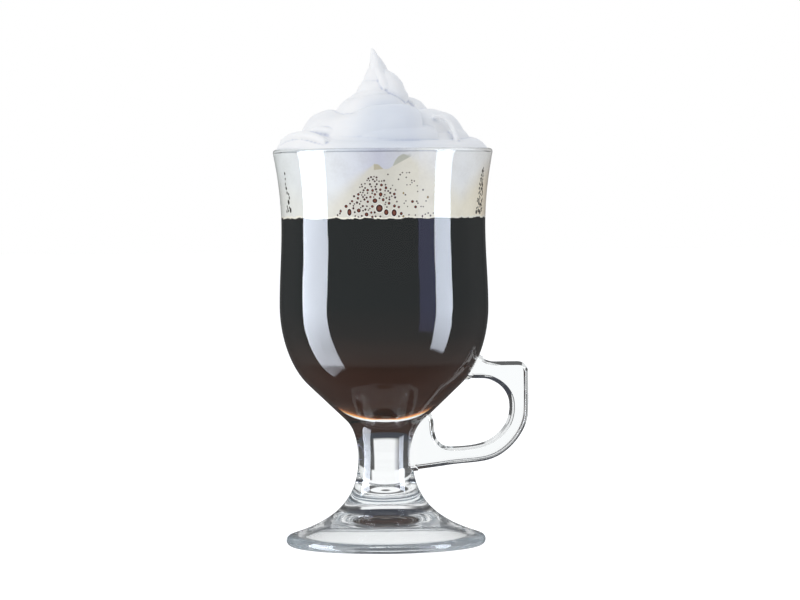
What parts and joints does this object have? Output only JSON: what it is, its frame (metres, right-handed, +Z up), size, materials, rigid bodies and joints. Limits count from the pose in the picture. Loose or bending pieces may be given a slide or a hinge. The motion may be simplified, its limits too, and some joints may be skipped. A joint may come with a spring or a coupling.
{
  "type": "irish coffee glass mug",
  "caption": "Footed Irish coffee glass with a short stem and a flat strap handle, holding black coffee, milk froth and a swirled peak of whipped cream.",
  "frame": {"origin": "centre of the foot's resting ring, on the table", "axes": "+Z up along the axis of the bowl and stem, +X towards the handle, +Y to the back"},
  "size_m": [0.0916, 0.079, 0.1787],
  "materials": {
    "clear_glass": "clear pressed soda-lime glass, fire polished",
    "coffee": "dark liquid coffee",
    "milk_froth": "fine beige milk froth with brown bubbles",
    "whipped_cream": "soft matt whipped cream"
  },
  "bodies": {
    "glass": {"bowl": "clear_glass", "stem": "clear_glass", "foot": "clear_glass", "handle": "clear_glass"},
    "drink": {"coffee": "coffee", "milk_froth": "milk_froth", "cream_bed": "whipped_cream", "cream_swirl": "whipped_cream", "cream_peak": "whipped_cream"}
  },
  "joints": [
    {"name": "drink_lift", "type": "slide", "parent": "glass", "child": "drink", "axis": [0, 0, 1], "range_m": [0, 0.11]}
  ]
}
